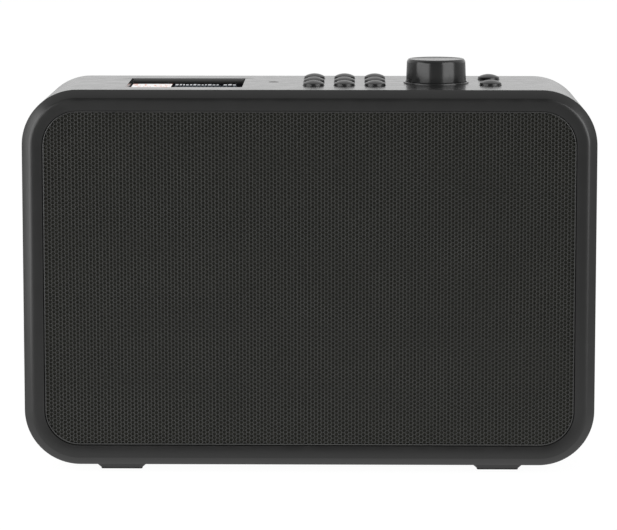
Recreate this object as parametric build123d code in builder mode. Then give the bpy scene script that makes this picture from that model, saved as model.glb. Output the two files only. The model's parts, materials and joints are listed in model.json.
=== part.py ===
from build123d import *
import math
import os

# A table radio in a moulded black case: a perforated steel grille in front, with a recessed
# colour display, nine round preset buttons, two round side buttons and one large push-turn
# knob on top. Millimetres, +Z up, the front looks along -Y.
# The origin is under the middle of the radio, on the surface that it stands on.

# ---- driving dimensions -------------------------------------------------------------------
WIDTH = 262.0  # widest, just behind the front chamfer
CASE_H = 173.3  # case height without feet
CASE_DEPTH = 88.0  # front ridge to the case's rear edge
CORNER_R = 25.5
WALL = 3.0
FOOT_H = 3.6
TAPER = 1.2 / 84.5  # each wall draws in this much for every millimetre towards the back
ANTENNA_STANDOFF = 8.5  # how far the folded antenna stands out behind the case

FRONT_Y = -(CASE_DEPTH + ANTENNA_STANDOFF) / 2
BACK_Y = FRONT_Y + CASE_DEPTH
TOP_Z = FOOT_H + CASE_H
MID_Z = FOOT_H + CASE_H / 2

# Front bezel: a crowned outer chamfer, a thin ridge and an inner band that rolls back to the grille.
CHAMFER_W = 3.7
CHAMFER_BACK = 3.5
CHAMFER_CROWN = 0.245
RIDGE_W = 0.3
BAND_INSET = 9.2
BAND_BACK = 0.6
BAND_CROWN = 0.12
SPIGOT_INSET = 3.3
SPIGOT_T = 2.7
SPIGOT_END = 12.0

# Grille: a pressed steel pan in the bezel's opening, with the cloth glued behind it.
GRILLE_INSET = 9.35
GRILLE_BACK = 1.0
GRILLE_T = 0.8
GRILLE_END = 8.9
GRILLE_EDGE_R = 0.7
CLOTH_T = 0.4

# Baffle and the two drivers
BAFFLE_BACK = 9.0
BAFFLE_T = 3.0
BAFFLE_INSET = 6.3
DRIVER_X = 66.0
DRIVER_Z = MID_Z - 6.0
DRIVER_R = 39.0
DRIVER_HOLE_R = 35.5
DRIVER_SCREW_R = 36.9
CONE_R = 28.8

# Rear cover
COVER_T = 3.0
COVER_IN = 0.5  # the cover's face sits this far inside the case's rear edge
COVER_GAP = 0.3
COVER_BOSS_R = 4.5
COVER_BOSS_L = 26.0
COVER_SCREWS = [(-108.0, 72.0), (108.0, 72.0), (-108.0, -72.0), (0.0, -77.0), (108.0, -72.0)]

# Top controls, as (x, distance behind the front ridge)
PRESET_X = [1.6, 15.8, 30.0]
PRESET_D = [28.5, 49.0, 69.5]
PRESET_R = 4.8
PRESET_RISE = 2.5
SIDE_X = 83.3
SIDE_D = [31.8, 66.8]
SIDE_R = 5.0
SIDE_RISE = 2.5
BUTTON_DOME = 1.5
BUTTON_GAP = 0.35
BUTTON_TRAVEL = 0.45
KNOB_X = 58.4
KNOB_D = 45.0
KNOB_R = 13.95
KNOB_TOP_R = 13.6
KNOB_RISE = 11.3
KNOB_TRAVEL = 0.5
KNOB_RING_R = 15.15
KNOB_RING_H = 0.7
DISPLAY_X = -57.8
DISPLAY_D = 43.4
DISPLAY_W = 53.6
DISPLAY_L = 50.8
DISPLAY_SINK = 2.4
SENSOR_X = -17.3
SENSOR_D = 48.7
SENSOR_R = 2.35

# Key board under the top
KEY_BOARD_H = -13.0  # its upper face, below the top surface
BOARD_T = 1.6
SWITCH_H = 3.5
SWITCH_W = 6.0

# Main board on four posts above the bottom
BOARD_Z = 20.0
BOARD_W = 130.0
BOARD_L = 56.0
BOARD_Y = BACK_Y - 7.0 - BOARD_L / 2
SOCKET_Z = BOARD_Z + BOARD_T + 4.5
POWER_X = -46.0
AUX_X = -22.0
PHONES_X = -4.0
PHONES_R = 1.8
POWER_R = 2.8
BORE_L = 12.0

# Antenna: folds flat along the back, turns on its base, tilts out and pulls out in 4 sections
ANTENNA_X = 108.0
ANTENNA_Z = 148.0
ANTENNA_OUT = 4.5  # the mast's axis, behind the case's rear edge
ANTENNA_TONGUE = 8.0
SECTION_R = [3.25, 2.7, 2.15, 1.6]
SECTION_WALL = 0.5
SECTION_L = 150.0
PIN_R = 1.2

# Feet, as (x, distance behind the ridge) of each centre
FOOT_X = 87.0
FOOT_D = [18.0, 70.0]
FOOT_W = 26.0
FOOT_W_LOW = 19.6
FOOT_L = 16.0
PAD_T = 0.8


def facing(d):
    """The upright plane d behind the ridge, seen from the front: local y is height above MID_Z."""
    return Plane(origin=(0, FRONT_Y + d, MID_Z), x_dir=(1, 0, 0), z_dir=(0, -1, 0))


TOP_NORMAL = Vector(0, TAPER, 1).normalized()
TOP_PLANE = Plane(
    origin=(0, FRONT_Y, TOP_Z + TAPER * CHAMFER_BACK), x_dir=(1, 0, 0), z_dir=TOP_NORMAL
)


def top(h=0.0, x=0.0, d=0.0):
    """A plane h above the case's top, parallel to it, with its origin at (x, d) on the top."""
    return Plane(origin=TOP_PLANE.from_local_coords((x, d, h)), x_dir=(1, 0, 0), z_dir=TOP_NORMAL)


def panel(d, inset):
    """A face at depth d: the case's widest outline drawn in by inset."""
    with BuildSketch(facing(d)) as face:
        RectangleRounded(WIDTH - 2 * inset, CASE_H - 2 * inset, CORNER_R - inset)
    return face.sketch


def outline(d, inset):
    """The case's own tapering outline at depth d, drawn in by inset."""
    return panel(d, inset + TAPER * max(0.0, d - CHAMFER_BACK))


def turned(points, plane, x=0.0, y=0.0):
    """Revolves a closed (radius, height) profile about the plane's normal through (x, y)."""
    centre = plane.from_local_coords((x, y, 0))
    side = Plane(origin=centre, x_dir=plane.x_dir, z_dir=-plane.y_dir)
    with BuildSketch(side) as profile:
        with BuildLine():
            Polyline(*points, close=True)
        make_face()
    revolve(profile.sketch, axis=Axis(centre, plane.z_dir))


def screw(plane, x, y, head_r, head_h, shank_r, shank_l):
    """A pan-head screw with a cross recess. Its head stands on the plane, its shank goes under."""
    slot = 0.7
    with BuildSketch(plane) as head:
        with Locations((x, y)):
            Circle(head_r)
    extrude(head.sketch, amount=head_h)
    with BuildSketch(plane.offset(head_h)) as cross:
        with Locations((x, y)):
            Rectangle(head_r, slot)
            Rectangle(slot, head_r)
    extrude(cross.sketch, amount=-head_h / 2, mode=Mode.SUBTRACT)
    with BuildSketch(plane) as shank:
        with Locations((x, y)):
            Circle(shank_r)
    extrude(shank.sketch, amount=-shank_l)


def save(piece, name):
    piece.part.label = name
    export_step(piece.part, f"parts/{name}.step")


os.makedirs("parts", exist_ok=True)

preset_places = [(x, d) for d in PRESET_D for x in PRESET_X]
side_places = [(SIDE_X, SIDE_D[0]), (SIDE_X + 0.3, SIDE_D[1])]
knob_place = (KNOB_X, KNOB_D)
key_places = preset_places + side_places
board_post_places = [
    (side * (BOARD_W / 2 - 5), BOARD_Y + end * (BOARD_L / 2 - 5)) for side in (-1, 1) for end in (-1, 1)
]

# ---- case ---------------------------------------------------------------------------------
LENS_LAP = 1.9
LENS_T = 1.5
KEY_POST_PLACES = [(-20.0, 26.0), (-20.0, 72.0), (74.5, 49.0), (44.5, 72.0)]
KEY_POST_R = 2.6
COVER_BOSS_END = CASE_DEPTH - COVER_IN - COVER_T

ROLL_BACK = 3.2
ROLL_DROP = 2.3
ROLL_FADE = 7.0


def roll_section(x, size):
    """What the rolled rear edge of the display opening loses, at x from the opening's middle."""
    back, drop = ROLL_BACK * size, ROLL_DROP * size
    edge = top(0, DISPLAY_X + x, DISPLAY_D + DISPLAY_L / 2)
    with BuildSketch(Plane(origin=edge.origin, x_dir=edge.y_dir, z_dir=(1, 0, 0))) as corner:
        with BuildLine():
            Polyline((0, -drop), (0, 0.02), (back, 0.02), (back, 0))
            TangentArc((back, 0), (0, -drop), tangent=(-1, 0))
        make_face()
    return corner.sketch


with BuildPart() as cabinet:
    loft([outline(CHAMFER_BACK, 0), outline(CASE_DEPTH, 0)], ruled=True)
    loft([outline(CHAMFER_BACK, WALL), outline(CASE_DEPTH, WALL)], ruled=True, mode=Mode.SUBTRACT)
    fillet(cabinet.faces().sort_by(Axis.Y)[-1].outer_wire().edges(), 1.2)
    # posts for the rear cover's screws
    with BuildSketch(facing(COVER_BOSS_END)):
        with Locations(*COVER_SCREWS):
            Circle(COVER_BOSS_R)
    extrude(amount=COVER_BOSS_L)
    # ribs that tie the posts to the walls
    rib_w = 3.0
    rib_high = CASE_H / 2 - WALL / 2 - 1.2
    with BuildSketch(facing(COVER_BOSS_END - 2)):
        for x, z in COVER_SCREWS:
            side = math.copysign(1, z)
            with Locations((x, (z + side * rib_high) / 2)):
                Rectangle(rib_w, abs(rib_high - abs(z)))
    extrude(amount=COVER_BOSS_L - 2)
    with BuildSketch(facing(COVER_BOSS_END)):
        with Locations(*COVER_SCREWS):
            Circle(1.6)
    extrude(amount=18, mode=Mode.SUBTRACT)
    # posts for the main board
    with BuildSketch(Plane.XY.offset(BOARD_Z)):
        with Locations(*board_post_places):
            Circle(3.5)
    extrude(amount=-(BOARD_Z - FOOT_H - WALL / 2))
    with BuildSketch(Plane.XY.offset(BOARD_Z)):
        with Locations(*board_post_places):
            Circle(1.35)
    extrude(amount=-9, mode=Mode.SUBTRACT)
    # posts that hang from the top for the key board
    with BuildSketch(top(-WALL + 0.5)):
        with Locations(*KEY_POST_PLACES):
            Circle(KEY_POST_R)
    extrude(amount=KEY_BOARD_H + WALL - 0.5)
    with BuildSketch(top(KEY_BOARD_H)):
        with Locations(*KEY_POST_PLACES):
            Circle(1.1)
    extrude(amount=7, mode=Mode.SUBTRACT)
    # holes in the top for the buttons, the knob's bushing and the sensor
    with BuildSketch(top(1)):
        with Locations(*preset_places):
            Circle(PRESET_R + BUTTON_GAP)
        with Locations(*side_places):
            Circle(SIDE_R + BUTTON_GAP)
        with Locations(knob_place):
            Circle(4.8)
        with Locations((SENSOR_X, SENSOR_D)):
            Circle(SENSOR_R)
    extrude(amount=-(WALL + 2), mode=Mode.SUBTRACT)
    # display opening, and the wider rebate that the lens sits in from below
    with BuildSketch(top(1)):
        with Locations((DISPLAY_X, DISPLAY_D)):
            RectangleRounded(DISPLAY_W, DISPLAY_L, 0.8)
    extrude(amount=-(WALL + 2), mode=Mode.SUBTRACT)
    with BuildSketch(top(-DISPLAY_SINK)):
        with Locations((DISPLAY_X, DISPLAY_D)):
            RectangleRounded(DISPLAY_W + 2 * LENS_LAP + 0.2, DISPLAY_L + 2 * LENS_LAP + 0.2, 2)
    extrude(amount=-(WALL + 2), mode=Mode.SUBTRACT)
    # the opening's rear edge is rounded over, and the rounding fades out past both corners
    straight = DISPLAY_W / 2 - 2
    loft([roll_section(-straight, 1), roll_section(straight, 1)], ruled=True, mode=Mode.SUBTRACT)
    for side in (-1, 1):
        fading = [roll_section(side * straight, 1), roll_section(side * (straight + ROLL_FADE), 0.05)]
        loft(fading, ruled=True, mode=Mode.SUBTRACT)
save(cabinet, "cabinet")

rim = panel(0, 0).wire()
section_plane = Plane(origin=rim @ 0, x_dir=facing(0).z_dir.cross(rim % 0), z_dir=-(rim % 0))

with BuildPart() as front_bezel:
    # its cross-section, as (inset, distance behind the ridge), goes once round the case's outline
    with BuildSketch(section_plane) as bezel_section:
        with BuildLine():
            SagittaArc((0, CHAMFER_BACK), (CHAMFER_W, 0), -CHAMFER_CROWN)
            Line((CHAMFER_W, 0), (CHAMFER_W + RIDGE_W, 0))
            SagittaArc((CHAMFER_W + RIDGE_W, 0), (BAND_INSET, BAND_BACK), -BAND_CROWN)
            Polyline(
                (BAND_INSET, BAND_BACK),
                (BAND_INSET, BAFFLE_BACK),
                (SPIGOT_INSET + SPIGOT_T, BAFFLE_BACK),
                (SPIGOT_INSET + SPIGOT_T, SPIGOT_END),
                (SPIGOT_INSET, SPIGOT_END),
                (SPIGOT_INSET, CHAMFER_BACK),
                (0, CHAMFER_BACK),
            )
        make_face()
    sweep(bezel_section.sketch, path=rim)
save(front_bezel, "front_bezel")

with BuildPart() as grille:
    extrude(panel(GRILLE_BACK, GRILLE_INSET), amount=-(GRILLE_END - GRILLE_BACK))
    fillet(grille.faces().sort_by(Axis.Y)[0].edges(), GRILLE_EDGE_R)
    hollow = panel(GRILLE_BACK + GRILLE_T, GRILLE_INSET + GRILLE_T)
    extrude(hollow, amount=-GRILLE_END, mode=Mode.SUBTRACT)
save(grille, "grille")

with BuildPart() as speaker_cloth:
    extrude(panel(GRILLE_BACK + GRILLE_T, GRILLE_INSET + GRILLE_T + 0.3), amount=-CLOTH_T)
save(speaker_cloth, "speaker_cloth")

driver_places = [(-DRIVER_X, DRIVER_Z - MID_Z), (DRIVER_X, DRIVER_Z - MID_Z)]

with BuildPart() as speaker_baffle:
    extrude(panel(BAFFLE_BACK, BAFFLE_INSET), amount=-BAFFLE_T)
    with BuildSketch(facing(BAFFLE_BACK)):
        with Locations(*driver_places):
            Circle(DRIVER_HOLE_R)
    extrude(amount=-BAFFLE_T, mode=Mode.SUBTRACT)
    with BuildSketch(facing(BAFFLE_BACK)):
        with Locations(*driver_places):
            with PolarLocations(DRIVER_SCREW_R, 4, 45):
                Circle(1.0)
    extrude(amount=-BAFFLE_T, mode=Mode.SUBTRACT)
    # ribs across the back keep the panel stiff
    with BuildSketch(facing(BAFFLE_BACK + BAFFLE_T)):
        with Locations((0, 0)):
            Rectangle(3, CASE_H - 30)
        with Locations((0, 68)):
            Rectangle(WIDTH - 50, 3)
        with Locations((0, -68)):
            Rectangle(WIDTH - 50, 3)
    extrude(amount=-5)
save(speaker_baffle, "speaker_baffle")

# ---- rear cover ---------------------------------------------------------------------------
PORT_X = 40.0
PORT_Z = 78.0 - MID_Z
PORT_R = 12.0
PORT_L = 34.0
VENT_W = 2.0
VENT_L = 26.0
socket_holes = [(POWER_X, 4.6), (AUX_X, 3.7), (PHONES_X, 3.7)]

with BuildPart() as rear_cover:
    extrude(outline(COVER_BOSS_END, WALL + COVER_GAP), amount=-COVER_T)
    # screw holes with round recesses for the heads
    with BuildSketch(facing(COVER_BOSS_END + COVER_T)):
        with Locations(*COVER_SCREWS):
            Circle(3.6)
    extrude(amount=1.8, mode=Mode.SUBTRACT)
    with BuildSketch(facing(COVER_BOSS_END + COVER_T)):
        with Locations(*COVER_SCREWS):
            Circle(1.8)
        for x, radius in socket_holes:
            with Locations((x, SOCKET_Z - MID_Z)):
                Circle(radius)
        with Locations((PORT_X, PORT_Z)):
            Circle(PORT_R + 2)
        with Locations((ANTENNA_X, ANTENNA_Z - MID_Z)):
            Circle(2.1)
        with Locations((-66, PORT_Z)):
            with GridLocations(VENT_W * 2.5, VENT_L + 8, 9, 2):
                SlotOverall(VENT_L, VENT_W, rotation=90)
    extrude(amount=COVER_T, mode=Mode.SUBTRACT)
    # a shallow panel round the sockets
    with BuildSketch(facing(COVER_BOSS_END + COVER_T)):
        with Locations(((POWER_X + PHONES_X) / 2, SOCKET_Z - MID_Z)):
            RectangleRounded(66, 20, 4)
    extrude(amount=0.6, mode=Mode.SUBTRACT)
    with BuildSketch(facing(COVER_BOSS_END + COVER_T)):
        with Locations((PORT_X + 30, SOCKET_Z - MID_Z + 4)):
            RectangleRounded(58, 26, 2)
    extrude(amount=0.3, mode=Mode.SUBTRACT)
save(rear_cover, "rear_cover")

with BuildPart() as rear_cover_screws:
    for x, z in COVER_SCREWS:
        back = Plane(origin=(0, BACK_Y - COVER_IN - 1.8, MID_Z), x_dir=(-1, 0, 0), z_dir=(0, 1, 0))
        screw(back, -x, z, 3.1, 1.6, 1.5, 15)
save(rear_cover_screws, "rear_cover_screws")

with BuildPart() as bass_port:
    back = Plane(origin=(PORT_X, BACK_Y - COVER_IN, MID_Z + PORT_Z), x_dir=(-1, 0, 0), z_dir=(0, 1, 0))
    flare = PORT_R + 4.5
    turned(
        [
            (PORT_R, -PORT_L),
            (PORT_R + 1.8, -PORT_L),
            (PORT_R + 1.8, 0),
            (flare + 1.5, 0),
            (flare + 0.8, 1.4),
            (flare - 0.5, 1.6),
            (PORT_R + 1.4, -0.2),
            (PORT_R, -3.5),
        ],
        back,
    )
save(bass_port, "bass_port")

# ---- feet ---------------------------------------------------------------------------------
foot_places = [(side * FOOT_X, FRONT_Y + d) for side in (-1, 1) for d in FOOT_D]

with BuildPart() as feet:
    for x, y in foot_places:
        under = FOOT_H + TAPER * (y - FOOT_L / 2 - FRONT_Y - CHAMFER_BACK)
        with BuildSketch(Plane.XY.offset(PAD_T)):
            with Locations((x, y)):
                RectangleRounded(FOOT_W_LOW, FOOT_L - 1.5, 1.0)
        with BuildSketch(Plane.XY.offset(under)):
            with Locations((x, y)):
                RectangleRounded(FOOT_W, FOOT_L, 1.0)
        loft(ruled=True)
save(feet, "feet")

with BuildPart() as foot_pads:
    for x, y in foot_places:
        with BuildSketch(Plane.XY):
            with Locations((x, y)):
                RectangleRounded(FOOT_W_LOW - 0.6, FOOT_L - 2.1, 1.0)
        extrude(amount=PAD_T)
save(foot_pads, "foot_pads")

# ---- display ------------------------------------------------------------------------------
LENS_H = -DISPLAY_SINK - LENS_T

with BuildPart() as display_lens:
    with BuildSketch(top(LENS_H, DISPLAY_X, DISPLAY_D)):
        RectangleRounded(DISPLAY_W + 2 * LENS_LAP, DISPLAY_L + 2 * LENS_LAP, 1.9)
    extrude(amount=LENS_T)
save(display_lens, "display_lens")

MODULE_T = 3.2

with BuildPart() as display_module:
    with BuildSketch(top(LENS_H - 0.2, DISPLAY_X, DISPLAY_D)):
        RectangleRounded(DISPLAY_W, DISPLAY_L, 1)
    extrude(amount=-MODULE_T)
    with BuildSketch(top(LENS_H - 0.2 - MODULE_T, DISPLAY_X, DISPLAY_D)):
        Rectangle(20, 24)
    extrude(amount=-1.2)
save(display_module, "display_module")

with BuildPart() as display_tray:
    tray_w = DISPLAY_W + 2 * LENS_LAP
    tray_l = DISPLAY_L + 2 * LENS_LAP
    tray_h = MODULE_T + 1.6
    with BuildSketch(top(LENS_H, DISPLAY_X, DISPLAY_D)):
        RectangleRounded(tray_w, tray_l, 1.9)
    extrude(amount=-tray_h)
    with BuildSketch(top(LENS_H, DISPLAY_X, DISPLAY_D)):
        RectangleRounded(DISPLAY_W + 0.4, DISPLAY_L + 0.4, 1.2)
    extrude(amount=-MODULE_T - 0.2, mode=Mode.SUBTRACT)
    with BuildSketch(top(LENS_H, DISPLAY_X, DISPLAY_D)):
        Rectangle(DISPLAY_W - 16, DISPLAY_L - 12)
    extrude(amount=-tray_h, mode=Mode.SUBTRACT)
save(display_tray, "display_tray")

with BuildPart() as sensor_window:
    turned(
        [(0, -4.2), (SENSOR_R + 1.2, -4.2), (SENSOR_R + 1.2, -3.2), (SENSOR_R - 0.1, -3.2)]
        + [(SENSOR_R - 0.1, -0.35), (SENSOR_R - 0.4, -0.1), (0, -0.1)],
        top(0, SENSOR_X, SENSOR_D),
    )
save(sensor_window, "sensor_window")

with BuildPart() as remote_receiver:
    with BuildSketch(top(KEY_BOARD_H, SENSOR_X, SENSOR_D)):
        Rectangle(5.6, 6.6)
    extrude(amount=6)
    turned([(0, 6), (2.4, 6), (1.8, 7.4), (0, 8)], top(KEY_BOARD_H, SENSOR_X, SENSOR_D))
save(remote_receiver, "remote_receiver")

# ---- buttons ------------------------------------------------------------------------------
SWITCH_TOP = KEY_BOARD_H + SWITCH_H + 1.5


def make_button(x, d, radius, rise):
    """A round push button: domed cap, straight side, a collar under the top and a stem."""
    collar_top = -WALL - 0.3
    centre = top(0, x, d)
    side = Plane(origin=centre.origin, x_dir=centre.x_dir, z_dir=-centre.y_dir)
    shoulder = rise - BUTTON_DOME
    with BuildPart() as button:
        with BuildSketch(side):
            with BuildLine():
                Line((0, SWITCH_TOP + BUTTON_TRAVEL + 0.1), (2.2, SWITCH_TOP + BUTTON_TRAVEL + 0.1))
                Line((2.2, SWITCH_TOP + BUTTON_TRAVEL + 0.1), (2.2, collar_top - 1))
                Line((2.2, collar_top - 1), (radius + 1.2, collar_top - 1))
                Line((radius + 1.2, collar_top - 1), (radius + 1.2, collar_top))
                Line((radius + 1.2, collar_top), (radius, collar_top))
                Line((radius, collar_top), (radius, shoulder))
                Line((radius, shoulder), (radius - 0.25, shoulder + 0.25))
                TangentArc((0, rise), (radius - 0.25, shoulder + 0.25), tangent=(1, 0))
                Line((0, rise), (0, SWITCH_TOP + BUTTON_TRAVEL + 0.1))
            make_face()
        revolve(axis=Axis(centre.origin, centre.z_dir))
    return button


preset_buttons = [make_button(x, d, PRESET_R, PRESET_RISE) for x, d in preset_places]
for number, button in enumerate(preset_buttons, start=1):
    save(button, f"preset_button_{number}")

side_buttons = [make_button(x, d, SIDE_R, SIDE_RISE) for x, d in side_places]
for name, button in zip(["side_button_front", "side_button_rear"], side_buttons):
    save(button, name)

# ---- knob and its encoder -----------------------------------------------------------------
BUSHING_TOP = 4.5
SHAFT_R = 3.0
SHAFT_LOW = -7.4
PLUNGER_TOP = SHAFT_LOW - 0.3
KNOB_LOW = 0.65
HUB_LOW = BUSHING_TOP + KNOB_TRAVEL + 0.3
HUB_TOP = 9.0

with BuildPart() as knob_ring:
    turned(
        [
            (KNOB_R + 0.4, 0),
            (KNOB_RING_R, 0),
            (KNOB_RING_R - 0.1, KNOB_RING_H - 0.15),
            (KNOB_RING_R - 0.3, KNOB_RING_H),
            (KNOB_R + 0.4, KNOB_RING_H),
        ],
        top(0, *knob_place),
    )
save(knob_ring, "knob_ring")

with BuildPart() as knob:
    turned(
        [
            (SHAFT_R, HUB_LOW),
            (5.0, HUB_LOW),
            (5.0, 8.2),
            (KNOB_R - 2.2, 8.2),
            (KNOB_R - 2.0, KNOB_LOW),
            (KNOB_R, KNOB_LOW),
            (KNOB_TOP_R, KNOB_RISE - 1.4),
            (KNOB_TOP_R - 0.2, KNOB_RISE - 0.7),
            (KNOB_TOP_R - 0.8, KNOB_RISE),
            (KNOB_TOP_R - 1.1, KNOB_RISE),
            (KNOB_TOP_R - 1.8, KNOB_RISE - 0.3),
            (0, KNOB_RISE - 0.8),
            (0, HUB_TOP),
            (SHAFT_R, HUB_TOP),
        ],
        top(0, *knob_place),
    )
save(knob, "knob")

with BuildPart() as encoder_shaft:
    turned([(0, SHAFT_LOW), (SHAFT_R, SHAFT_LOW), (SHAFT_R, HUB_TOP), (0, HUB_TOP)], top(0, *knob_place))
save(encoder_shaft, "encoder_shaft")

with BuildPart() as encoder_plunger:
    turned(
        [(0, PLUNGER_TOP - 2), (2.5, PLUNGER_TOP - 2), (2.5, PLUNGER_TOP), (0, PLUNGER_TOP)],
        top(0, *knob_place),
    )
save(encoder_plunger, "encoder_plunger")

with BuildPart() as encoder_body:
    with BuildSketch(top(KEY_BOARD_H, *knob_place)):
        RectangleRounded(13.4, 12.4, 0.6)
    extrude(amount=6.4)
    with BuildSketch(top(KEY_BOARD_H + 6.4, *knob_place)):
        Circle(4.5)
    extrude(amount=BUSHING_TOP - KEY_BOARD_H - 6.4)
    with BuildSketch(top(BUSHING_TOP, *knob_place)):
        Circle(SHAFT_R + 0.06)
    extrude(amount=SHAFT_LOW - 0.6 - BUSHING_TOP, mode=Mode.SUBTRACT)
    with BuildSketch(top(SHAFT_LOW, *knob_place)):
        Circle(4.0)
    extrude(amount=-4.2, mode=Mode.SUBTRACT)
save(encoder_body, "encoder_body")

with BuildPart() as encoder_nut:
    with BuildSketch(top(0, *knob_place)):
        RegularPolygon(6.5, 6)
        Circle(4.5, mode=Mode.SUBTRACT)
    extrude(amount=2)
save(encoder_nut, "encoder_nut")

# ---- key board ----------------------------------------------------------------------------
with BuildPart() as key_board:
    with BuildSketch(top(KEY_BOARD_H, 34.0, 49.0)):
        RectangleRounded(122, 58, 2)
    extrude(amount=-BOARD_T)
    with BuildSketch(top(KEY_BOARD_H)):
        with Locations(*KEY_POST_PLACES):
            Circle(1.5)
    extrude(amount=-BOARD_T, mode=Mode.SUBTRACT)
save(key_board, "key_board")

with BuildPart() as key_switches:
    for x, d in key_places:
        with BuildSketch(top(KEY_BOARD_H, x, d)):
            RectangleRounded(SWITCH_W, SWITCH_W, 0.5)
        extrude(amount=SWITCH_H)
        with BuildSketch(top(KEY_BOARD_H + SWITCH_H, x, d)):
            Circle(1.75)
        extrude(amount=1.5)
save(key_switches, "key_switches")

# ---- main board ---------------------------------------------------------------------------
with BuildPart() as main_board:
    with BuildSketch(Plane.XY.offset(BOARD_Z)):
        with Locations((0, BOARD_Y)):
            RectangleRounded(BOARD_W, BOARD_L, 2)
        with Locations(*board_post_places):
            Circle(1.7, mode=Mode.SUBTRACT)
    extrude(amount=BOARD_T)
save(main_board, "main_board")

with BuildPart() as board_screws:
    for x, y in board_post_places:
        screw(Plane.XY.offset(BOARD_Z + BOARD_T), x, y, 2.6, 1.6, 1.25, 9)
    for x, d in KEY_POST_PLACES:
        low = top(KEY_BOARD_H - BOARD_T, x, d)
        screw(Plane(origin=low.origin, x_dir=low.x_dir, z_dir=-low.z_dir), 0, 0, 2.2, 1.4, 1.0, 7)
save(board_screws, "board_screws")

with BuildPart() as radio_module:
    with BuildSketch(Plane.XY.offset(BOARD_Z + BOARD_T)):
        with Locations((38, BOARD_Y + 6)):
            RectangleRounded(36, 30, 1)
    extrude(amount=3.4)
    chamfer(radio_module.faces().sort_by(Axis.Z)[-1].edges(), 0.4)
save(radio_module, "radio_module")

FIN_T = 1.4
with BuildPart() as heat_sink:
    with BuildSketch(Plane.XY.offset(BOARD_Z + BOARD_T)):
        with Locations((-30, BOARD_Y - 14)):
            Rectangle(44, 14)
    extrude(amount=3)
    with BuildSketch(Plane.XY.offset(BOARD_Z + BOARD_T + 3)):
        with Locations((-30, BOARD_Y - 14)):
            with GridLocations(44 / 8, 1, 8, 1):
                Rectangle(FIN_T, 14)
    extrude(amount=12)
save(heat_sink, "heat_sink")

with BuildPart() as capacitors:
    for x in (4.0, 18.0):
        with BuildSketch(Plane.XY.offset(BOARD_Z + BOARD_T)):
            with Locations((x, BOARD_Y - 16)):
                Circle(5)
        extrude(amount=16)
    fillet(capacitors.faces().sort_by(Axis.Z)[-2:].edges(), 0.6)
save(capacitors, "capacitors")


def make_socket(x, bore_r, snout_r, width, height, pin_r=0.0):
    """A socket on the board's rear edge: a block, a round snout through the cover and a bore."""
    mouth = Plane(origin=(x, BACK_Y - COVER_IN - 0.7, SOCKET_Z), x_dir=(-1, 0, 0), z_dir=(0, 1, 0))
    reach = BACK_Y - COVER_IN - 0.7 - (BACK_Y - COVER_IN - COVER_T - 0.3)
    with BuildPart() as socket:
        with BuildSketch(mouth):
            Circle(snout_r)
        extrude(amount=-reach)
        with BuildSketch(mouth.offset(-reach)):
            with Locations((0, height / 2 - 4.5)):
                Rectangle(width, height)
        extrude(amount=-12)
        with BuildSketch(mouth):
            Circle(bore_r)
        extrude(amount=-BORE_L, mode=Mode.SUBTRACT)
        if pin_r:
            with BuildSketch(mouth.offset(-1)):
                Circle(pin_r)
            extrude(amount=-BORE_L)
    return socket


dc_inlet = make_socket(POWER_X, POWER_R, 4.3, 9.0, 11.0, pin_r=1.05)
save(dc_inlet, "dc_inlet")
aux_socket = make_socket(AUX_X, PHONES_R, 3.4, 7.6, 9.0)
save(aux_socket, "aux_socket")
headphone_socket = make_socket(PHONES_X, PHONES_R, 3.4, 7.6, 9.0)
save(headphone_socket, "headphone_socket")

# ribbon cable from the key board down to the main board, behind everything
with BuildPart() as ribbon_cable:
    ribbon_y = FRONT_Y + 76.0
    key_z = TOP_PLANE.from_local_coords((0, 71.0, KEY_BOARD_H - BOARD_T)).Z - 0.6
    board_top = BOARD_Z + BOARD_T
    with BuildSketch(Plane(origin=(-4, 0, 0), x_dir=(0, 1, 0), z_dir=(1, 0, 0))):
        with BuildLine():
            FilletPolyline(
                (ribbon_y - 7, key_z),
                (ribbon_y, key_z),
                (ribbon_y, 90),
                (ribbon_y - 6, 60),
                (ribbon_y - 6, board_top + 0.3),
                radius=2.5,
            )
            offset(amount=0.25, side=Side.BOTH)
        make_face()
    extrude(amount=14)
save(ribbon_cable, "ribbon_cable")

# ---- drivers ------------------------------------------------------------------------------
FLANGE_T = 2.4
BASKET_END = 20.0
MAGNET_R = 30.0
MAGNET_T = 16.0
COIL_R = 10.0


def driver_plane(x):
    """The driver's mounting plane on the baffle's front face. Its normal points to the front."""
    return Plane(origin=(x, FRONT_Y + BAFFLE_BACK, DRIVER_Z), x_dir=(1, 0, 0), z_dir=(0, -1, 0))


def make_frame(x):
    """Pressed steel basket: a flat flange, a conical wall with windows and a seat for the magnet."""
    with BuildPart() as frame:
        turned(
            [
                (31.0, 0.6),
                (31.0, FLANGE_T),
                (DRIVER_R, FLANGE_T),
                (DRIVER_R, 0),
                (34.8, 0),
                (34.0, -3.0),
                (24.0, -BASKET_END + 1),
                (24.0, -BASKET_END),
                (12.0, -BASKET_END),
                (12.0, -BASKET_END + 1.2),
                (22.6, -BASKET_END + 1.2),
                (32.6, -2.6),
            ],
            driver_plane(x),
        )
        with BuildSketch(driver_plane(x).offset(-7)):
            with PolarLocations(29, 6):
                Circle(5.5)
        extrude(amount=-8, mode=Mode.SUBTRACT)
        with BuildSketch(driver_plane(x)):
            with PolarLocations(DRIVER_SCREW_R, 4, 45):
                Circle(1.3)
        extrude(amount=FLANGE_T, mode=Mode.SUBTRACT)
    return frame


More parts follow.
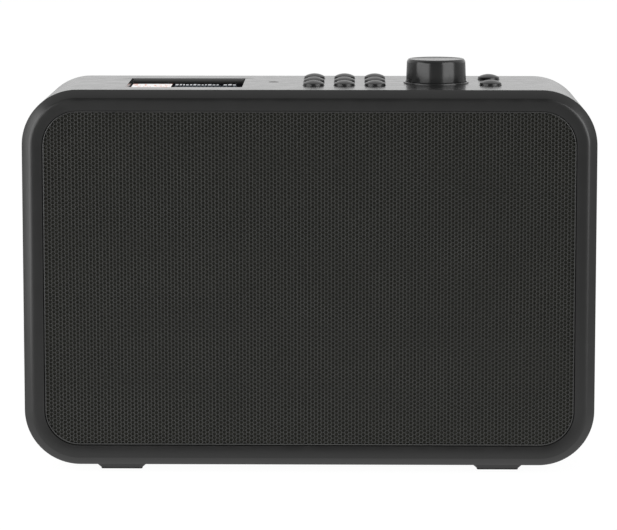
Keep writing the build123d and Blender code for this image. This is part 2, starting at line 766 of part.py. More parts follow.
def make_cone(x):
    """Paper cone, voice-coil former and dust cap: the part of the driver that moves."""
    with BuildPart() as cone:
        turned(
            [
                (CONE_R, 1.6),
                (CONE_R - 0.2, 2.2),
                (COIL_R + 0.3, -11.0),
                (COIL_R + 0.3, -11.4),
                (COIL_R, -11.4),
                (COIL_R, -28.0),
                (COIL_R + 0.4, -28.0),
                (COIL_R + 0.4, -11.9),
            ],
            driver_plane(x),
        )
        turned(
            [(0, -6.4), (4.0, -6.9), (8.0, -8.6), (COIL_R + 1.2, -10.7)]
            + [(COIL_R, -11.2), (7.7, -9.1), (0, -7.1)],
            driver_plane(x),
        )
    return cone


driver_names = [("left", -DRIVER_X), ("right", DRIVER_X)]
for side_name, x in driver_names:
    save(make_frame(x), f"{side_name}_driver_frame")
    save(make_cone(x), f"{side_name}_driver_cone")
    with BuildPart() as magnet:
        turned(
            [
                (0, -BASKET_END - 0.2),
                (COIL_R - 0.7, -BASKET_END - 0.2),
                (COIL_R - 0.7, -BASKET_END - 12.2),
                (COIL_R + 1.1, -BASKET_END - 12.2),
                (COIL_R + 1.1, -BASKET_END),
                (MAGNET_R - 2, -BASKET_END),
                (MAGNET_R - 2, -BASKET_END - 2.5),
                (MAGNET_R, -BASKET_END - 2.5),
                (MAGNET_R, -BASKET_END - MAGNET_T + 2.5),
                (MAGNET_R - 2, -BASKET_END - MAGNET_T + 2.5),
                (MAGNET_R - 2, -BASKET_END - MAGNET_T),
                (0, -BASKET_END - MAGNET_T),
            ],
            driver_plane(x),
        )
    save(magnet, f"{side_name}_driver_magnet")

with BuildPart() as driver_surrounds:
    for side_name, x in driver_names:
        turned(
            [
                (29.2, 2.5),
                (29.8, 2.5),
                (30.4, 3.7),
                (31.4, 4.2),
                (32.4, 3.7),
                (33.0, 2.9),
                (34.4, 2.9),
                (34.4, FLANGE_T),
                (32.6, FLANGE_T),
                (32.0, 3.2),
                (31.4, 3.6),
                (30.9, 3.2),
                (30.2, 2.0),
                (29.2, 2.0),
            ],
            driver_plane(x),
        )
save(driver_surrounds, "driver_surrounds")

with BuildPart() as driver_screws:
    for side_name, x in driver_names:
        with BuildSketch(driver_plane(x)):
            with PolarLocations(DRIVER_SCREW_R, 4, 45):
                Circle(0.95)
        extrude(amount=-6)
        with BuildSketch(driver_plane(x)):
            with PolarLocations(DRIVER_SCREW_R, 4, 45):
                Circle(1.2)
        extrude(amount=FLANGE_T)
        with BuildSketch(driver_plane(x).offset(FLANGE_T)):
            with PolarLocations(DRIVER_SCREW_R, 4, 45):
                Circle(1.95)
        extrude(amount=1.3)
save(driver_screws, "driver_screws")

# speaker leads from the main board's front edge up to each driver
with BuildPart() as speaker_leads:
    for side_name, x in driver_names:
        side = math.copysign(1, x)
        with BuildLine() as lead_line:
            FilletPolyline(
                (side * 52, BOARD_Y - 24, BOARD_Z + BOARD_T + 0.2),
                (side * 52, BOARD_Y - 24, BOARD_Z + 16),
                (side * 60, FRONT_Y + BAFFLE_BACK + 27, 44),
                (side * 64, FRONT_Y + BAFFLE_BACK + 15, 56),
                radius=[6, 8],
            )
        lead = lead_line.wires()[0]
        with BuildSketch(Plane(origin=lead @ 0, z_dir=lead % 0)) as lead_end:
            Circle(1.0)
        sweep(lead_end.sketch, path=lead)
save(speaker_leads, "speaker_leads")

# ---- antenna ------------------------------------------------------------------------------
PIVOT_Y = BACK_Y + ANTENNA_OUT
COVER_Y = BACK_Y - COVER_IN
mast_plane = Plane(origin=(ANTENNA_X, PIVOT_Y, ANTENNA_Z), x_dir=(0, 0, 1), z_dir=(-1, 0, 0))

with BuildPart() as antenna_base:
    back = Plane(origin=(ANTENNA_X, COVER_Y, ANTENNA_Z), x_dir=(-1, 0, 0), z_dir=(0, 1, 0))
    turned(
        [(0, -4.5), (3.4, -4.5), (3.4, -3.4), (2.0, -3.4), (2.0, 0.3)]
        + [(6.2, 0.3), (6.2, 1.6), (5.6, 2.1), (0, 2.1)],
        back,
    )
    # two ears, above and below the mast's tongue
    for low in (-4.0, 1.9):
        with BuildSketch(Plane(origin=(ANTENNA_X, 0, ANTENNA_Z + low))):
            with Locations((0, PIVOT_Y)):
                Circle(4.0)
            with Locations((0, (COVER_Y + 1.8 + PIVOT_Y) / 2)):
                Rectangle(8.0, PIVOT_Y - COVER_Y - 1.8)
        extrude(amount=2.1)
    with BuildSketch(Plane.XY.offset(ANTENNA_Z - 3.9)):
        with Locations((ANTENNA_X, PIVOT_Y)):
            Circle(PIN_R)
    extrude(amount=7.8)
save(antenna_base, "antenna_base")

sections = []
for number, radius in enumerate(SECTION_R, start=1):
    last = number == len(SECTION_R)
    start = ANTENNA_TONGUE + (number - 1) * 1.5
    length = SECTION_L + 2.5 * (number - 1)
    with BuildPart() as section:
        with BuildSketch(mast_plane.offset(start)):
            Circle(radius)
            if not last:
                Circle(radius - SECTION_WALL, mode=Mode.SUBTRACT)
        extrude(amount=length)
        if number == 1:
            # the flat tongue that turns on the base's pin, and the plug that closes the tube
            with BuildSketch(mast_plane.offset(ANTENNA_TONGUE - 1.5)):
                Circle(radius)
            extrude(amount=1.6)
            with BuildSketch(Plane.XY.offset(ANTENNA_Z - 1.6)):
                with Locations((ANTENNA_X, PIVOT_Y)):
                    Circle(2.2)
                with Locations((ANTENNA_X - ANTENNA_TONGUE / 2 + 0.5, PIVOT_Y)):
                    Rectangle(ANTENNA_TONGUE - 1.0, 4.4)
            extrude(amount=3.2)
            with BuildSketch(Plane.XY.offset(ANTENNA_Z - 1.6)):
                with Locations((ANTENNA_X, PIVOT_Y)):
                    Circle(PIN_R + 0.06)
            extrude(amount=3.2, mode=Mode.SUBTRACT)
    sections.append(section)
    save(section, f"antenna_section_{number}")

TIP_START = ANTENNA_TONGUE + 1.5 * (len(SECTION_R) - 1) + SECTION_L + 2.5 * (len(SECTION_R) - 1)
with BuildPart() as antenna_tip:
    turned(
        [(0, TIP_START), (2.6, TIP_START), (3.25, TIP_START + 0.8), (3.25, TIP_START + 4.5)]
        + [(2.4, TIP_START + 5.8), (0, TIP_START + 6.2)],
        mast_plane,
    )
save(antenna_tip, "antenna_tip")
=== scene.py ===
"""Looks of the table radio: perforated grille, controls, display, materials, lights and camera."""

import json
import math

import bpy
import numpy as np
from mathutils import Matrix, Vector


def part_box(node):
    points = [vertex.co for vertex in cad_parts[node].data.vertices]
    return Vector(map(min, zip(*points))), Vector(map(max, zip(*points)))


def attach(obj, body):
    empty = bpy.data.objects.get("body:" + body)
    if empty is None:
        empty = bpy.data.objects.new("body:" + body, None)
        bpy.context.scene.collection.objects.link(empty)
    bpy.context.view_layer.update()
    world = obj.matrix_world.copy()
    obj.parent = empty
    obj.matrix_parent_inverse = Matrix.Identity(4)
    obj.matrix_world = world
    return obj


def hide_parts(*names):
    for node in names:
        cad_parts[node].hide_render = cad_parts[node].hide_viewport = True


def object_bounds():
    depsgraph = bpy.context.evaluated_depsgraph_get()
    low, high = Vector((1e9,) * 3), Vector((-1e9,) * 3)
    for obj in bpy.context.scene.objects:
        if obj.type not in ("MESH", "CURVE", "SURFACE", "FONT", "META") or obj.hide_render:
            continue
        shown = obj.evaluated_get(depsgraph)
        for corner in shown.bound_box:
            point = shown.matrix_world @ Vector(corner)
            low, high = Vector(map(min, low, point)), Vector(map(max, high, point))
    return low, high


MM = 0.001

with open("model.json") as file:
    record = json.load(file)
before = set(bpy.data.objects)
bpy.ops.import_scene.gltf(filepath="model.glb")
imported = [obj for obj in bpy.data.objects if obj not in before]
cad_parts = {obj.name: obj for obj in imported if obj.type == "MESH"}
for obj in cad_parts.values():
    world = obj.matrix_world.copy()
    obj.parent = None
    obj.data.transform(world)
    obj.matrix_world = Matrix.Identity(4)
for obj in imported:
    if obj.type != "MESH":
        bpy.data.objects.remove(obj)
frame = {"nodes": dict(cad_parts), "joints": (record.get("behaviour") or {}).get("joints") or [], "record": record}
cad_low, cad_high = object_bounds()
nodes_of_frame = frame["nodes"]
joints = {joint["name"]: joint for joint in frame["joints"]}
front_y = cad_low.y

# The top slopes a little towards the back: its normal is the way the buttons rise.
UP = -Vector(joints["knob_press"]["axis"]).normalized()
RIGHT = Vector((1, 0, 0))
BACK = UP.cross(RIGHT).normalized()


# ---- materials ----------------------------------------------------------------------------
# Sizes are how far across a texture's features are.
NOISE_LOW = 0.3  # spread maps a noise from this value...
NOISE_HIGH = 0.7  # ...to this one
MOTTLE_SIZE = 18 * MM
GLOSS_SIZE = 7 * MM
UNEVEN_SIZE = 30 * MM
GLOW_SIZE = 2 * MM
SMEAR_SIZE = 9 * MM
# A wave texture turns by this many radians for each unit of its scaled coordinate.
WAVE_TEXTURE_PHASE = 20
WEAVE_STEP = 0.35 * MM  # one radian of the weave
WEAVE_DEPTH = 0.1 * MM
TRACK_SIZE = 4 * MM
TRACK_DEPTH = 0.03 * MM
MASK_GREEN = (0.004, 0.05, 0.016)
TRACK_GREEN = (0.012, 0.11, 0.04)
SCREEN_OFF = (0.01, 0.01, 0.012, 1)
PATCH_SIZE = 1.6 * MM
PATCH_STRETCH = (1.0, 0.35, 1.0)
PATCH_FROM = 0.56  # noise at which a warm patch begins
PATCH_FULL = 0.66  # noise at which it has its full colour
PICTURE_PALE = (0.95, 0.95, 0.95)
PICTURE_WARM = (0.8, 0.28, 0.16)


def new_material(name):
    """A material with its node tree and its shader."""
    material = bpy.data.materials.new(name)
    material.use_nodes = True
    tree = material.node_tree
    return material, tree, tree.nodes["Principled BSDF"]


def noise(tree, size, detail, vector=None):
    """A noise texture whose features are about `size` metres across, in the object's own frame."""
    if vector is None:
        vector = tree.nodes.new("ShaderNodeTexCoord").outputs["Object"]
    texture = tree.nodes.new("ShaderNodeTexNoise")
    texture.inputs["Scale"].default_value = 1.0 / size
    texture.inputs["Detail"].default_value = detail
    tree.links.new(vector, texture.inputs["Vector"])
    return texture.outputs["Fac"]


def spread(tree, value, low, high):
    """Maps the middle of a noise's range to low..high."""
    ramp = tree.nodes.new("ShaderNodeMapRange")
    ramp.inputs["From Min"].default_value = NOISE_LOW
    ramp.inputs["From Max"].default_value = NOISE_HIGH
    ramp.inputs["To Min"].default_value = low
    ramp.inputs["To Max"].default_value = high
    tree.links.new(value, ramp.inputs["Value"])
    return ramp.outputs["Result"]


def tint(tree, factor, dark, light):
    """A colour between dark and light, by factor."""
    mix = tree.nodes.new("ShaderNodeMix")
    mix.data_type = "RGBA"
    mix.inputs["A"].default_value = (*dark, 1)
    mix.inputs["B"].default_value = (*light, 1)
    tree.links.new(factor, mix.inputs["Factor"])
    return mix.outputs["Result"]


def bump(tree, height, depth, normal=None):
    """A bump of the given depth in metres."""
    node = tree.nodes.new("ShaderNodeBump")
    node.inputs["Strength"].default_value = 1.0
    node.inputs["Distance"].default_value = depth
    tree.links.new(height, node.inputs["Height"])
    if normal is not None:
        tree.links.new(normal, node.inputs["Normal"])
    return node.outputs["Normal"]


def shaded(
    name,
    colour,
    roughness,
    mottle=0.08,
    grain=0.4 * MM,
    depth=0.004 * MM,
    metal=0.0,
    specular=0.5,
    wave=0.0,
):
    """Mottled colour, uneven gloss, a fine grain and slow waves of height wave, in metres."""
    material, tree, bsdf = new_material(name)
    cloud = spread(tree, noise(tree, MOTTLE_SIZE, 3), 0, 1)
    dark = [c * (1 - mottle) for c in colour]
    light = [c * (1 + mottle) for c in colour]
    tree.links.new(tint(tree, cloud, dark, light), bsdf.inputs["Base Color"])
    uneven = spread(tree, noise(tree, GLOSS_SIZE, 4), roughness * 0.9, roughness * 1.1)
    tree.links.new(uneven, bsdf.inputs["Roughness"])
    normal = bump(tree, noise(tree, grain, 2), depth)
    if wave:
        normal = bump(tree, noise(tree, UNEVEN_SIZE, 1), wave, normal)
    tree.links.new(normal, bsdf.inputs["Normal"])
    bsdf.inputs["Metallic"].default_value = metal
    bsdf.inputs["Specular IOR Level"].default_value = specular
    return material


def cloth(name, colour):
    """Weave of two crossing waves, each repeating every 2 pi times WEAVE_STEP."""
    material, tree, bsdf = new_material(name)
    coord = tree.nodes.new("ShaderNodeTexCoord").outputs["Object"]
    heights = []
    for direction in ("X", "Z"):
        wave = tree.nodes.new("ShaderNodeTexWave")
        wave.bands_direction = direction
        wave.inputs["Scale"].default_value = 1 / WEAVE_STEP / WAVE_TEXTURE_PHASE
        tree.links.new(coord, wave.inputs["Vector"])
        heights.append(wave.outputs["Fac"])
    weave = tree.nodes.new("ShaderNodeMath")
    weave.operation = "MULTIPLY"
    tree.links.new(heights[0], weave.inputs[0])
    tree.links.new(heights[1], weave.inputs[1])
    dark = [c * 0.6 for c in colour]
    tree.links.new(tint(tree, weave.outputs[0], dark, colour), bsdf.inputs["Base Color"])
    tree.links.new(bump(tree, weave.outputs[0], WEAVE_DEPTH), bsdf.inputs["Normal"])
    bsdf.inputs["Roughness"].default_value = 0.95
    bsdf.inputs["Specular IOR Level"].default_value = 0.15
    return material


def circuit(name):
    """Green solder mask with lighter copper tracks under it."""
    material, tree, bsdf = new_material(name)
    coord = tree.nodes.new("ShaderNodeTexCoord").outputs["Object"]
    tracks = tree.nodes.new("ShaderNodeTexVoronoi")
    tracks.distance = "MANHATTAN"
    tracks.feature = "F1"
    tracks.inputs["Scale"].default_value = 1 / TRACK_SIZE
    tree.links.new(coord, tracks.inputs["Vector"])
    edge = spread(tree, tracks.outputs["Distance"], 1, 0)
    green = tint(tree, edge, MASK_GREEN, TRACK_GREEN)
    tree.links.new(green, bsdf.inputs["Base Color"])
    tree.links.new(bump(tree, edge, TRACK_DEPTH), bsdf.inputs["Normal"])
    bsdf.inputs["Roughness"].default_value = 0.35
    return material


def unlit_screen(bsdf):
    """Sets what every lit part of the display has besides its light: a dull black."""
    bsdf.inputs["Base Color"].default_value = SCREEN_OFF
    bsdf.inputs["Roughness"].default_value = 0.4
    bsdf.inputs["Specular IOR Level"].default_value = 0.0


def lit(name, colour, strength):
    """A part of the display that gives its own light."""
    material, tree, bsdf = new_material(name)
    glow = spread(tree, noise(tree, GLOW_SIZE, 2), strength * 0.85, strength * 1.15)
    unlit_screen(bsdf)
    bsdf.inputs["Emission Color"].default_value = (*colour, 1)
    tree.links.new(glow, bsdf.inputs["Emission Strength"])
    return material


def picture(name):
    """An abstract cover picture: pale ground with soft warm patches."""
    material, tree, bsdf = new_material(name)
    coord = tree.nodes.new("ShaderNodeTexCoord").outputs["Object"]
    stretch = tree.nodes.new("ShaderNodeMapping")
    stretch.inputs["Scale"].default_value = PATCH_STRETCH
    tree.links.new(coord, stretch.inputs["Vector"])
    patches = tree.nodes.new("ShaderNodeMapRange")
    patches.inputs["From Min"].default_value = PATCH_FROM
    patches.inputs["From Max"].default_value = PATCH_FULL
    cloud = noise(tree, PATCH_SIZE, 2, stretch.outputs["Vector"])
    tree.links.new(cloud, patches.inputs["Value"])
    warm = tint(tree, patches.outputs["Result"], PICTURE_PALE, PICTURE_WARM)
    tree.links.new(warm, bsdf.inputs["Emission Color"])
    bsdf.inputs["Emission Strength"].default_value = 1.0
    unlit_screen(bsdf)
    return material


def lens_glass(name):
    """The lens as a smooth black plate with faint smears; the display's pieces lie on it."""
    material, tree, bsdf = new_material(name)
    smears = spread(tree, noise(tree, SMEAR_SIZE, 4), 0.04, 0.1)
    tree.links.new(smears, bsdf.inputs["Roughness"])
    bsdf.inputs["Base Color"].default_value = (0.004, 0.004, 0.005, 1)
    bsdf.inputs["Specular IOR Level"].default_value = 0.02
    return material


INNER_BLACK = (0.018, 0.018, 0.0178)
# shaded takes a name, colour, roughness, mottle, and the size and depth of the grain.
finishes = {
    "case_plastic": shaded(
        "case_plastic", (0.013, 0.013, 0.013), 0.22, 0.05, 0.5 * MM, 0.0015 * MM, wave=0.03 * MM
    ),
    "bezel_plastic": shaded(
        "bezel_plastic", (0.0055, 0.0056, 0.0054), 0.33, 0.05, 0.45 * MM, 0.003 * MM
    ),
    "grille_steel": shaded(
        "grille_steel", (0.027, 0.0274, 0.0255), 0.34, 0.1, 0.2 * MM, 0.003 * MM, specular=0.4
    ),
    "cloth": cloth("cloth", (0.045, 0.0452, 0.0385)),
    "inner_plastic": shaded("inner_plastic", INNER_BLACK, 0.5),
    "screw_steel": shaded(
        "screw_steel", (0.32, 0.31, 0.3), 0.32, 0.12, 0.1 * MM, 0.004 * MM, metal=1.0
    ),
    "foot_plastic": shaded("foot_plastic", (0.024, 0.024, 0.024), 0.45, 0.08),
    "foot_rubber": shaded("foot_rubber", (0.014, 0.014, 0.014), 0.8, 0.15, 0.3 * MM, 0.01 * MM),
    "display_glass": lens_glass("display_glass"),
    "display_panel": shaded("display_panel", (0.01, 0.01, 0.012), 0.3),
    "sensor_plastic": shaded("sensor_plastic", (0.012, 0.008, 0.01), 0.3, 0.02, specular=0.02),
    "chip_plastic": shaded("chip_plastic", (0.014, 0.014, 0.014), 0.55),
    "knob_plastic": shaded(
        "knob_plastic", (0.018, 0.0183, 0.0183), 0.2, 0.05, 0.3 * MM, 0.0008 * MM, specular=0.35
    ),
    "button_plastic": shaded(
        "button_plastic", (0.013, 0.013, 0.0132), 0.3, 0.06, 0.35 * MM, 0.002 * MM
    ),
    "socket_metal": shaded("socket_metal", (0.5, 0.49, 0.47), 0.35, 0.1, metal=1.0),
    "circuit_board": circuit("circuit_board"),
    "heat_sink_aluminium": shaded("heat_sink_aluminium", (0.55, 0.56, 0.57), 0.4, 0.08, metal=1.0),
    "capacitor_sleeve": shaded("capacitor_sleeve", (0.02, 0.02, 0.06), 0.25),
    "socket_plastic": shaded("socket_plastic", (0.012, 0.012, 0.012), 0.4),
    "ribbon_plastic": shaded("ribbon_plastic", (0.6, 0.6, 0.57), 0.4),
    "lead_rubber": shaded("lead_rubber", (0.3, 0.02, 0.02), 0.5),
    "surround_rubber": shaded("surround_rubber", (0.012, 0.012, 0.012), 0.6),
    "driver_steel": shaded("driver_steel", (0.016, 0.016, 0.016), 0.45),
    "cone_paper": shaded("cone_paper", (0.02, 0.02, 0.022), 0.9, 0.3, 0.8 * MM, 0.05 * MM),
    "magnet_ferrite": shaded("magnet_ferrite", (0.05, 0.05, 0.055), 0.6, 0.2),
    "antenna_chrome": shaded(
        "antenna_chrome", (0.72, 0.72, 0.73), 0.14, 0.05, 0.15 * MM, 0.0006 * MM, metal=1.0
    ),
}

for subpart in frame["record"]["subparts"]:
    cad_object = nodes_of_frame[subpart["node"]]
    for material_slot in cad_object.material_slots:
        material_slot.material = finishes[subpart["material_slot"]]


# ---- mesh helpers -------------------------------------------------------------------------
SOFT_STEPS = 5
SOFT_SHARE = 0.45  # the most of an edge that one of its two corners may take up
LATHE_SHARP_DEG = 50
AXIS_R = 1e-6  # a lathe's radius below this is a point on the axis


def make_piece(name, points, faces, slot_name, body, sharp_deg=None, material=None):
    """A mesh piece in the row frame that rides on a CAD body.

    It is smooth but for the edges over sharp_deg, or flat all over without one."""
    mesh = bpy.data.meshes.new(name)
    mesh.from_pydata([tuple(p) for p in points], [], [tuple(f) for f in faces])
    mesh.validate()
    if sharp_deg is not None:
        mesh.shade_smooth()
        mesh.set_sharp_from_angle(angle=math.radians(sharp_deg))
    piece = bpy.data.objects.new(name, mesh)
    bpy.context.scene.collection.objects.link(piece)
    mesh.materials.append(material or finishes[slot_name])
    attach(piece, body)
    return piece


def softened(points, radius):
    """The open profile with each inner corner cut by a curve that starts radius before it, or
    less where there is no room, and ends as far after it."""
    points = [Vector(p) for p in points]
    result = [points[0]]
    for before, corner, after in zip(points, points[1:], points[2:]):
        back, ahead = before - corner, after - corner
        room = min(radius, back.length * SOFT_SHARE, ahead.length * SOFT_SHARE)
        start = corner + back.normalized() * room
        end = corner + ahead.normalized() * room
        result += rolled(start, corner, end, SOFT_STEPS)
    result.append(points[-1])
    return result


def rolled(start, middle, end, steps):
    """A smooth curve from start to end that leaves towards middle and arrives from it."""
    start, middle, end = Vector(start), Vector(middle), Vector(end)
    result = []
    for step in range(steps + 1):
        t = step / steps
        result.append(start * (1 - t) ** 2 + middle * 2 * t * (1 - t) + end * t**2)
    return result


def bowed(start, end, rise, steps):
    """A shallow arc from start to end whose middle stands rise to the right of the straight line."""
    start, end = Vector(start), Vector(end)
    across = end - start
    middle = (start + end) / 2 + Vector((across.y, -across.x)).normalized() * 2 * rise
    return rolled(start, middle, end, steps)


def lathe(name, profile, centre, axis, slot_name, body, segments):
    """Turns a (radius, height) profile in millimetres about axis through centre."""
    axis = Vector(axis).normalized()
    side = axis.orthogonal().normalized()
    other = axis.cross(side)
    points, faces, rings = [], [], []
    for radius, height in profile:
        base = Vector(centre) + axis * height * MM
        if radius < AXIS_R:
            rings.append([len(points)])
            points.append(base)
            continue
        ring = []
        for i in range(segments):
            turn = 2 * math.pi * i / segments
            ring.append(len(points))
            points.append(base + (side * math.cos(turn) + other * math.sin(turn)) * radius * MM)
        rings.append(ring)
    for low, high in zip(rings, rings[1:]):
        for i in range(segments):
            j = (i + 1) % segments
            if len(low) == 1:
                faces.append((low[0], high[j], high[i]))
            elif len(high) == 1:
                faces.append((low[i], low[j], high[0]))
            else:
                faces.append((low[i], low[j], high[j], high[i]))
    return make_piece(name, points, faces, slot_name, body, sharp_deg=LATHE_SHARP_DEG)


def rounded_outline(half_w, half_h, radius, steps):
    """Points round a rounded rectangle, anticlockwise, from the lower right corner on."""
    outline = []
    for quarter, (sx, sz) in enumerate(((1, -1), (1, 1), (-1, 1), (-1, -1))):
        start = -math.pi / 2 + quarter * math.pi / 2
        for step in range(steps + 1):
            turn = start + math.pi / 2 * step / steps
            x = sx * (half_w - radius) + radius * math.cos(turn)
            z = sz * (half_h - radius) + radius * math.sin(turn)
            outline.append((x, z))
    return outline


def ring_mesh(profile, half_w, half_h, corner_r, origin, steps):
    """Carries a closed (inset, depth) profile once round a rounded rectangle that faces the front."""
    points, faces = [], []
    for inset, back in profile:
        ring = rounded_outline(half_w - inset, half_h - inset, corner_r - inset, steps)
        points += [(origin.x + x, origin.y + back, origin.z + z) for x, z in ring]
    count = len(points) // len(profile)
    for row in range(len(profile)):
        after = (row + 1) % len(profile)
        for i in range(count):
            j = (i + 1) % count
            faces.append((row * count + i, row * count + j, after * count + j, after * count + i))
    return points, faces


# ---- grille: a sheet with hexagonally packed round holes, and its rolled edge -------------
HOLE_PITCH = 1.8 * MM
HOLE_R = 0.79 * MM
RIM_W = 0.06 * MM  # width of the bevel round a hole's mouth
RIM_H = 0.05 * MM  # and its depth
HOLE_SIDES = 12  # two for each side of a hole's hexagonal cell
SHEET_T = 0.8 * MM
EDGE_R = 0.65 * MM
EDGE_STEPS = 20
ROLL_POINTS = 9
EDGE_REACH = 0.1 * MM  # how far the edge ring reaches in past its curve, and past its wall
SHEET_GAP = 0.05 * MM  # from the inner end of the ring's curve to the sheet's outline
GRILLE_CORNER_R = 16.15 * MM
GRILLE_SHARP_DEG = 40
GRILLE_STRIPS = 6
CELL_KEEP = 0.8  # a hole stays if it is less than this share of its cell's radius past the outline
MERGE_DIGITS = 7  # points whose metres agree to this many decimals are one point
SLIVER = 1e-12  # a triangle goes if twice its area, in square metres, is no more than this

grille_low, grille_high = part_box("grille")
grille_centre = (grille_low + grille_high) / 2
GRILLE_HALF_W = (grille_high.x - grille_low.x) / 2
GRILLE_HALF_H = (grille_high.z - grille_low.z) / 2


def inside_edge(points, inset):
    """Moves points beyond the grille's outline, drawn in by inset, back onto it.

    Also gives how far past it each one was."""
    straight = np.array([GRILLE_HALF_W - GRILLE_CORNER_R, GRILLE_HALF_H - GRILLE_CORNER_R])
    past = np.abs(points) - straight
    outside = np.maximum(past, 0)
    corner = np.linalg.norm(outside, axis=1)
    distance = corner + np.minimum(past.max(axis=1), 0) - (GRILLE_CORNER_R - inset)
    direction = outside / np.maximum(corner, 1e-12)[:, None] * np.sign(points)
    excess = np.maximum(distance, 0)[:, None]
    return points - direction * excess, distance


def hole_centres():
    """The lattice of holes: upright columns, every other one half a pitch lower."""
    column_pitch = HOLE_PITCH * math.sqrt(3) / 2
    columns = int(GRILLE_HALF_W / column_pitch) + 1
    rows = int(GRILLE_HALF_H / HOLE_PITCH) + 1
    centres = []
    for column in range(-columns, columns + 1):
        drop = HOLE_PITCH / 2 if column % 2 else 0.0
        for row in range(-rows, rows + 2):
            centres.append((column * column_pitch, row * HOLE_PITCH - drop))
    return np.array(centres)


def perforated_sheet():
    """The flat of the grille, in strips, each a sheet whose holes have real walls."""
    inset = EDGE_R + SHEET_GAP
    centres = hole_centres()
    cell_r = HOLE_PITCH / math.sqrt(3)
    distance = inside_edge(centres, inset)[1]
    centres = centres[distance < cell_r * CELL_KEEP]
    hexagon = np.array([(math.cos(a), math.sin(a)) for a in np.arange(6) * math.pi / 3]) * cell_r
    turns = np.arange(HOLE_SIDES) * 2 * math.pi / HOLE_SIDES
    ring = np.column_stack([np.cos(turns), np.sin(turns)])
    lip, hole = ring * (HOLE_R + RIM_W), ring * HOLE_R
    bounds = np.linspace(-GRILLE_HALF_W, GRILLE_HALF_W, GRILLE_STRIPS + 1)
    bounds[-1] += cell_r
    per_cell = 6 + 3 * HOLE_SIDES
    # A cell's points: six corners, then the rim's lip, the hole's mouth and the hole's back.
    template = []
    for k in range(6):
        a, b = k, (k + 1) % 6
        first, middle, last = 6 + 2 * k, 6 + 2 * k + 1, 6 + (2 * k + 2) % HOLE_SIDES
        template += [(a, first, middle), (a, middle, b), (b, middle, last)]
    for k in range(2 * HOLE_SIDES):
        row = k // HOLE_SIDES * HOLE_SIDES
        front_a, front_b = 6 + k, 6 + row + (k + 1) % HOLE_SIDES
        back_a, back_b = front_a + HOLE_SIDES, front_b + HOLE_SIDES
        template += [(front_a, back_a, back_b), (front_a, back_b, front_b)]
    template = np.array(template)
    for strip in range(GRILLE_STRIPS):
        mine = centres[(centres[:, 0] >= bounds[strip]) & (centres[:, 0] < bounds[strip + 1])]
        flat = np.concatenate(
            [mine[:, None, :] + shape for shape in (hexagon, lip, hole, hole)], axis=1
        ).reshape(-1, 2)
        flat = inside_edge(flat, inset)[0]
        depth = np.zeros((len(mine), per_cell))
        depth[:, 6 + HOLE_SIDES : 6 + 2 * HOLE_SIDES] = RIM_H
        depth[:, 6 + 2 * HOLE_SIDES :] = SHEET_T
        across = grille_centre.x + flat[:, 0]
        upward = grille_centre.z + flat[:, 1]
        points = np.column_stack([across, grille_low.y + depth.ravel(), upward])
        faces = (template[None] + (np.arange(len(mine)) * per_cell)[:, None, None]).reshape(-1, 3)
        merged, index = np.unique(np.round(points, MERGE_DIGITS), axis=0, return_inverse=True)
        faces = index.reshape(-1)[faces]
        first, second, third = (merged[faces[:, k]] for k in range(3))
        doubled_area = np.linalg.norm(np.cross(second - first, third - first), axis=1)
        faces = faces[doubled_area > SLIVER]
        sheet = make_piece(
            f"grille_sheet_{strip + 1}",
            merged.tolist(),
            faces.tolist(),
            "grille_steel",
            "case",
            sharp_deg=GRILLE_SHARP_DEG,
        )
        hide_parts("grille")


def rolled_edge():
    """The ring where the sheet turns back round the grille's outline."""
    roll = [
        (EDGE_R * (1 - math.sin(a)), EDGE_R * (1 - math.cos(a)))
        for a in np.linspace(0, math.pi / 2, ROLL_POINTS)
    ]
    depth = grille_high.y - grille_low.y
    profile = [(EDGE_R + EDGE_REACH, 0)] + roll
    profile += [(0, depth), (SHEET_T, depth), (SHEET_T, SHEET_T)]
    profile += [(SHEET_T + EDGE_REACH, SHEET_T * 0.5)]
    origin = Vector((grille_centre.x, grille_low.y, grille_centre.z))
    points, faces = ring_mesh(
        profile, GRILLE_HALF_W, GRILLE_HALF_H, GRILLE_CORNER_R, origin, EDGE_STEPS
    )
    # The rim is a copy of the grille steel. Its higher gloss is real, but its lighter colour is a painted
    # highlight along the rolled edge.
    gloss = shaded(
        "grille_rim_painted_highlight", (0.038, 0.038, 0.037), 0.25, 0.1, 0.2 * MM, 0.001 * MM, specular=0.6
    )
    edge = make_piece(
        "grille_edge",
        points,
        faces,
        "grille_steel",
        "case",
        sharp_deg=GRILLE_SHARP_DEG,
        material=gloss,
    )
    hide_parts("grille")


# The bezel's section: (inset, depth) in millimetres from its outer edge and its front.
CHAMFER_START = (0, 3.5)
RIDGE_START = (3.45, 0.42)
RIDGE_TURN = (3.92, 0)  # the ridge curves towards this point but does not reach it
BAND_START = (5.4, 0)
BAND_END = (9.3, 0.4)
BEZEL_BACK = [(9.3, 9.0), (6.0, 9.0), (6.0, 12.0), (3.3, 12.0), (3.3, 3.5)]
CHAMFER_BOW = 0.06
BAND_BOW = 0.09
BOW_STEPS = 8
RIDGE_STEPS = 10
BEZEL_CORNER_R = 25.5 * MM
BEZEL_CORNER_STEPS = 28
BEZEL_SHARP_DEG = 32


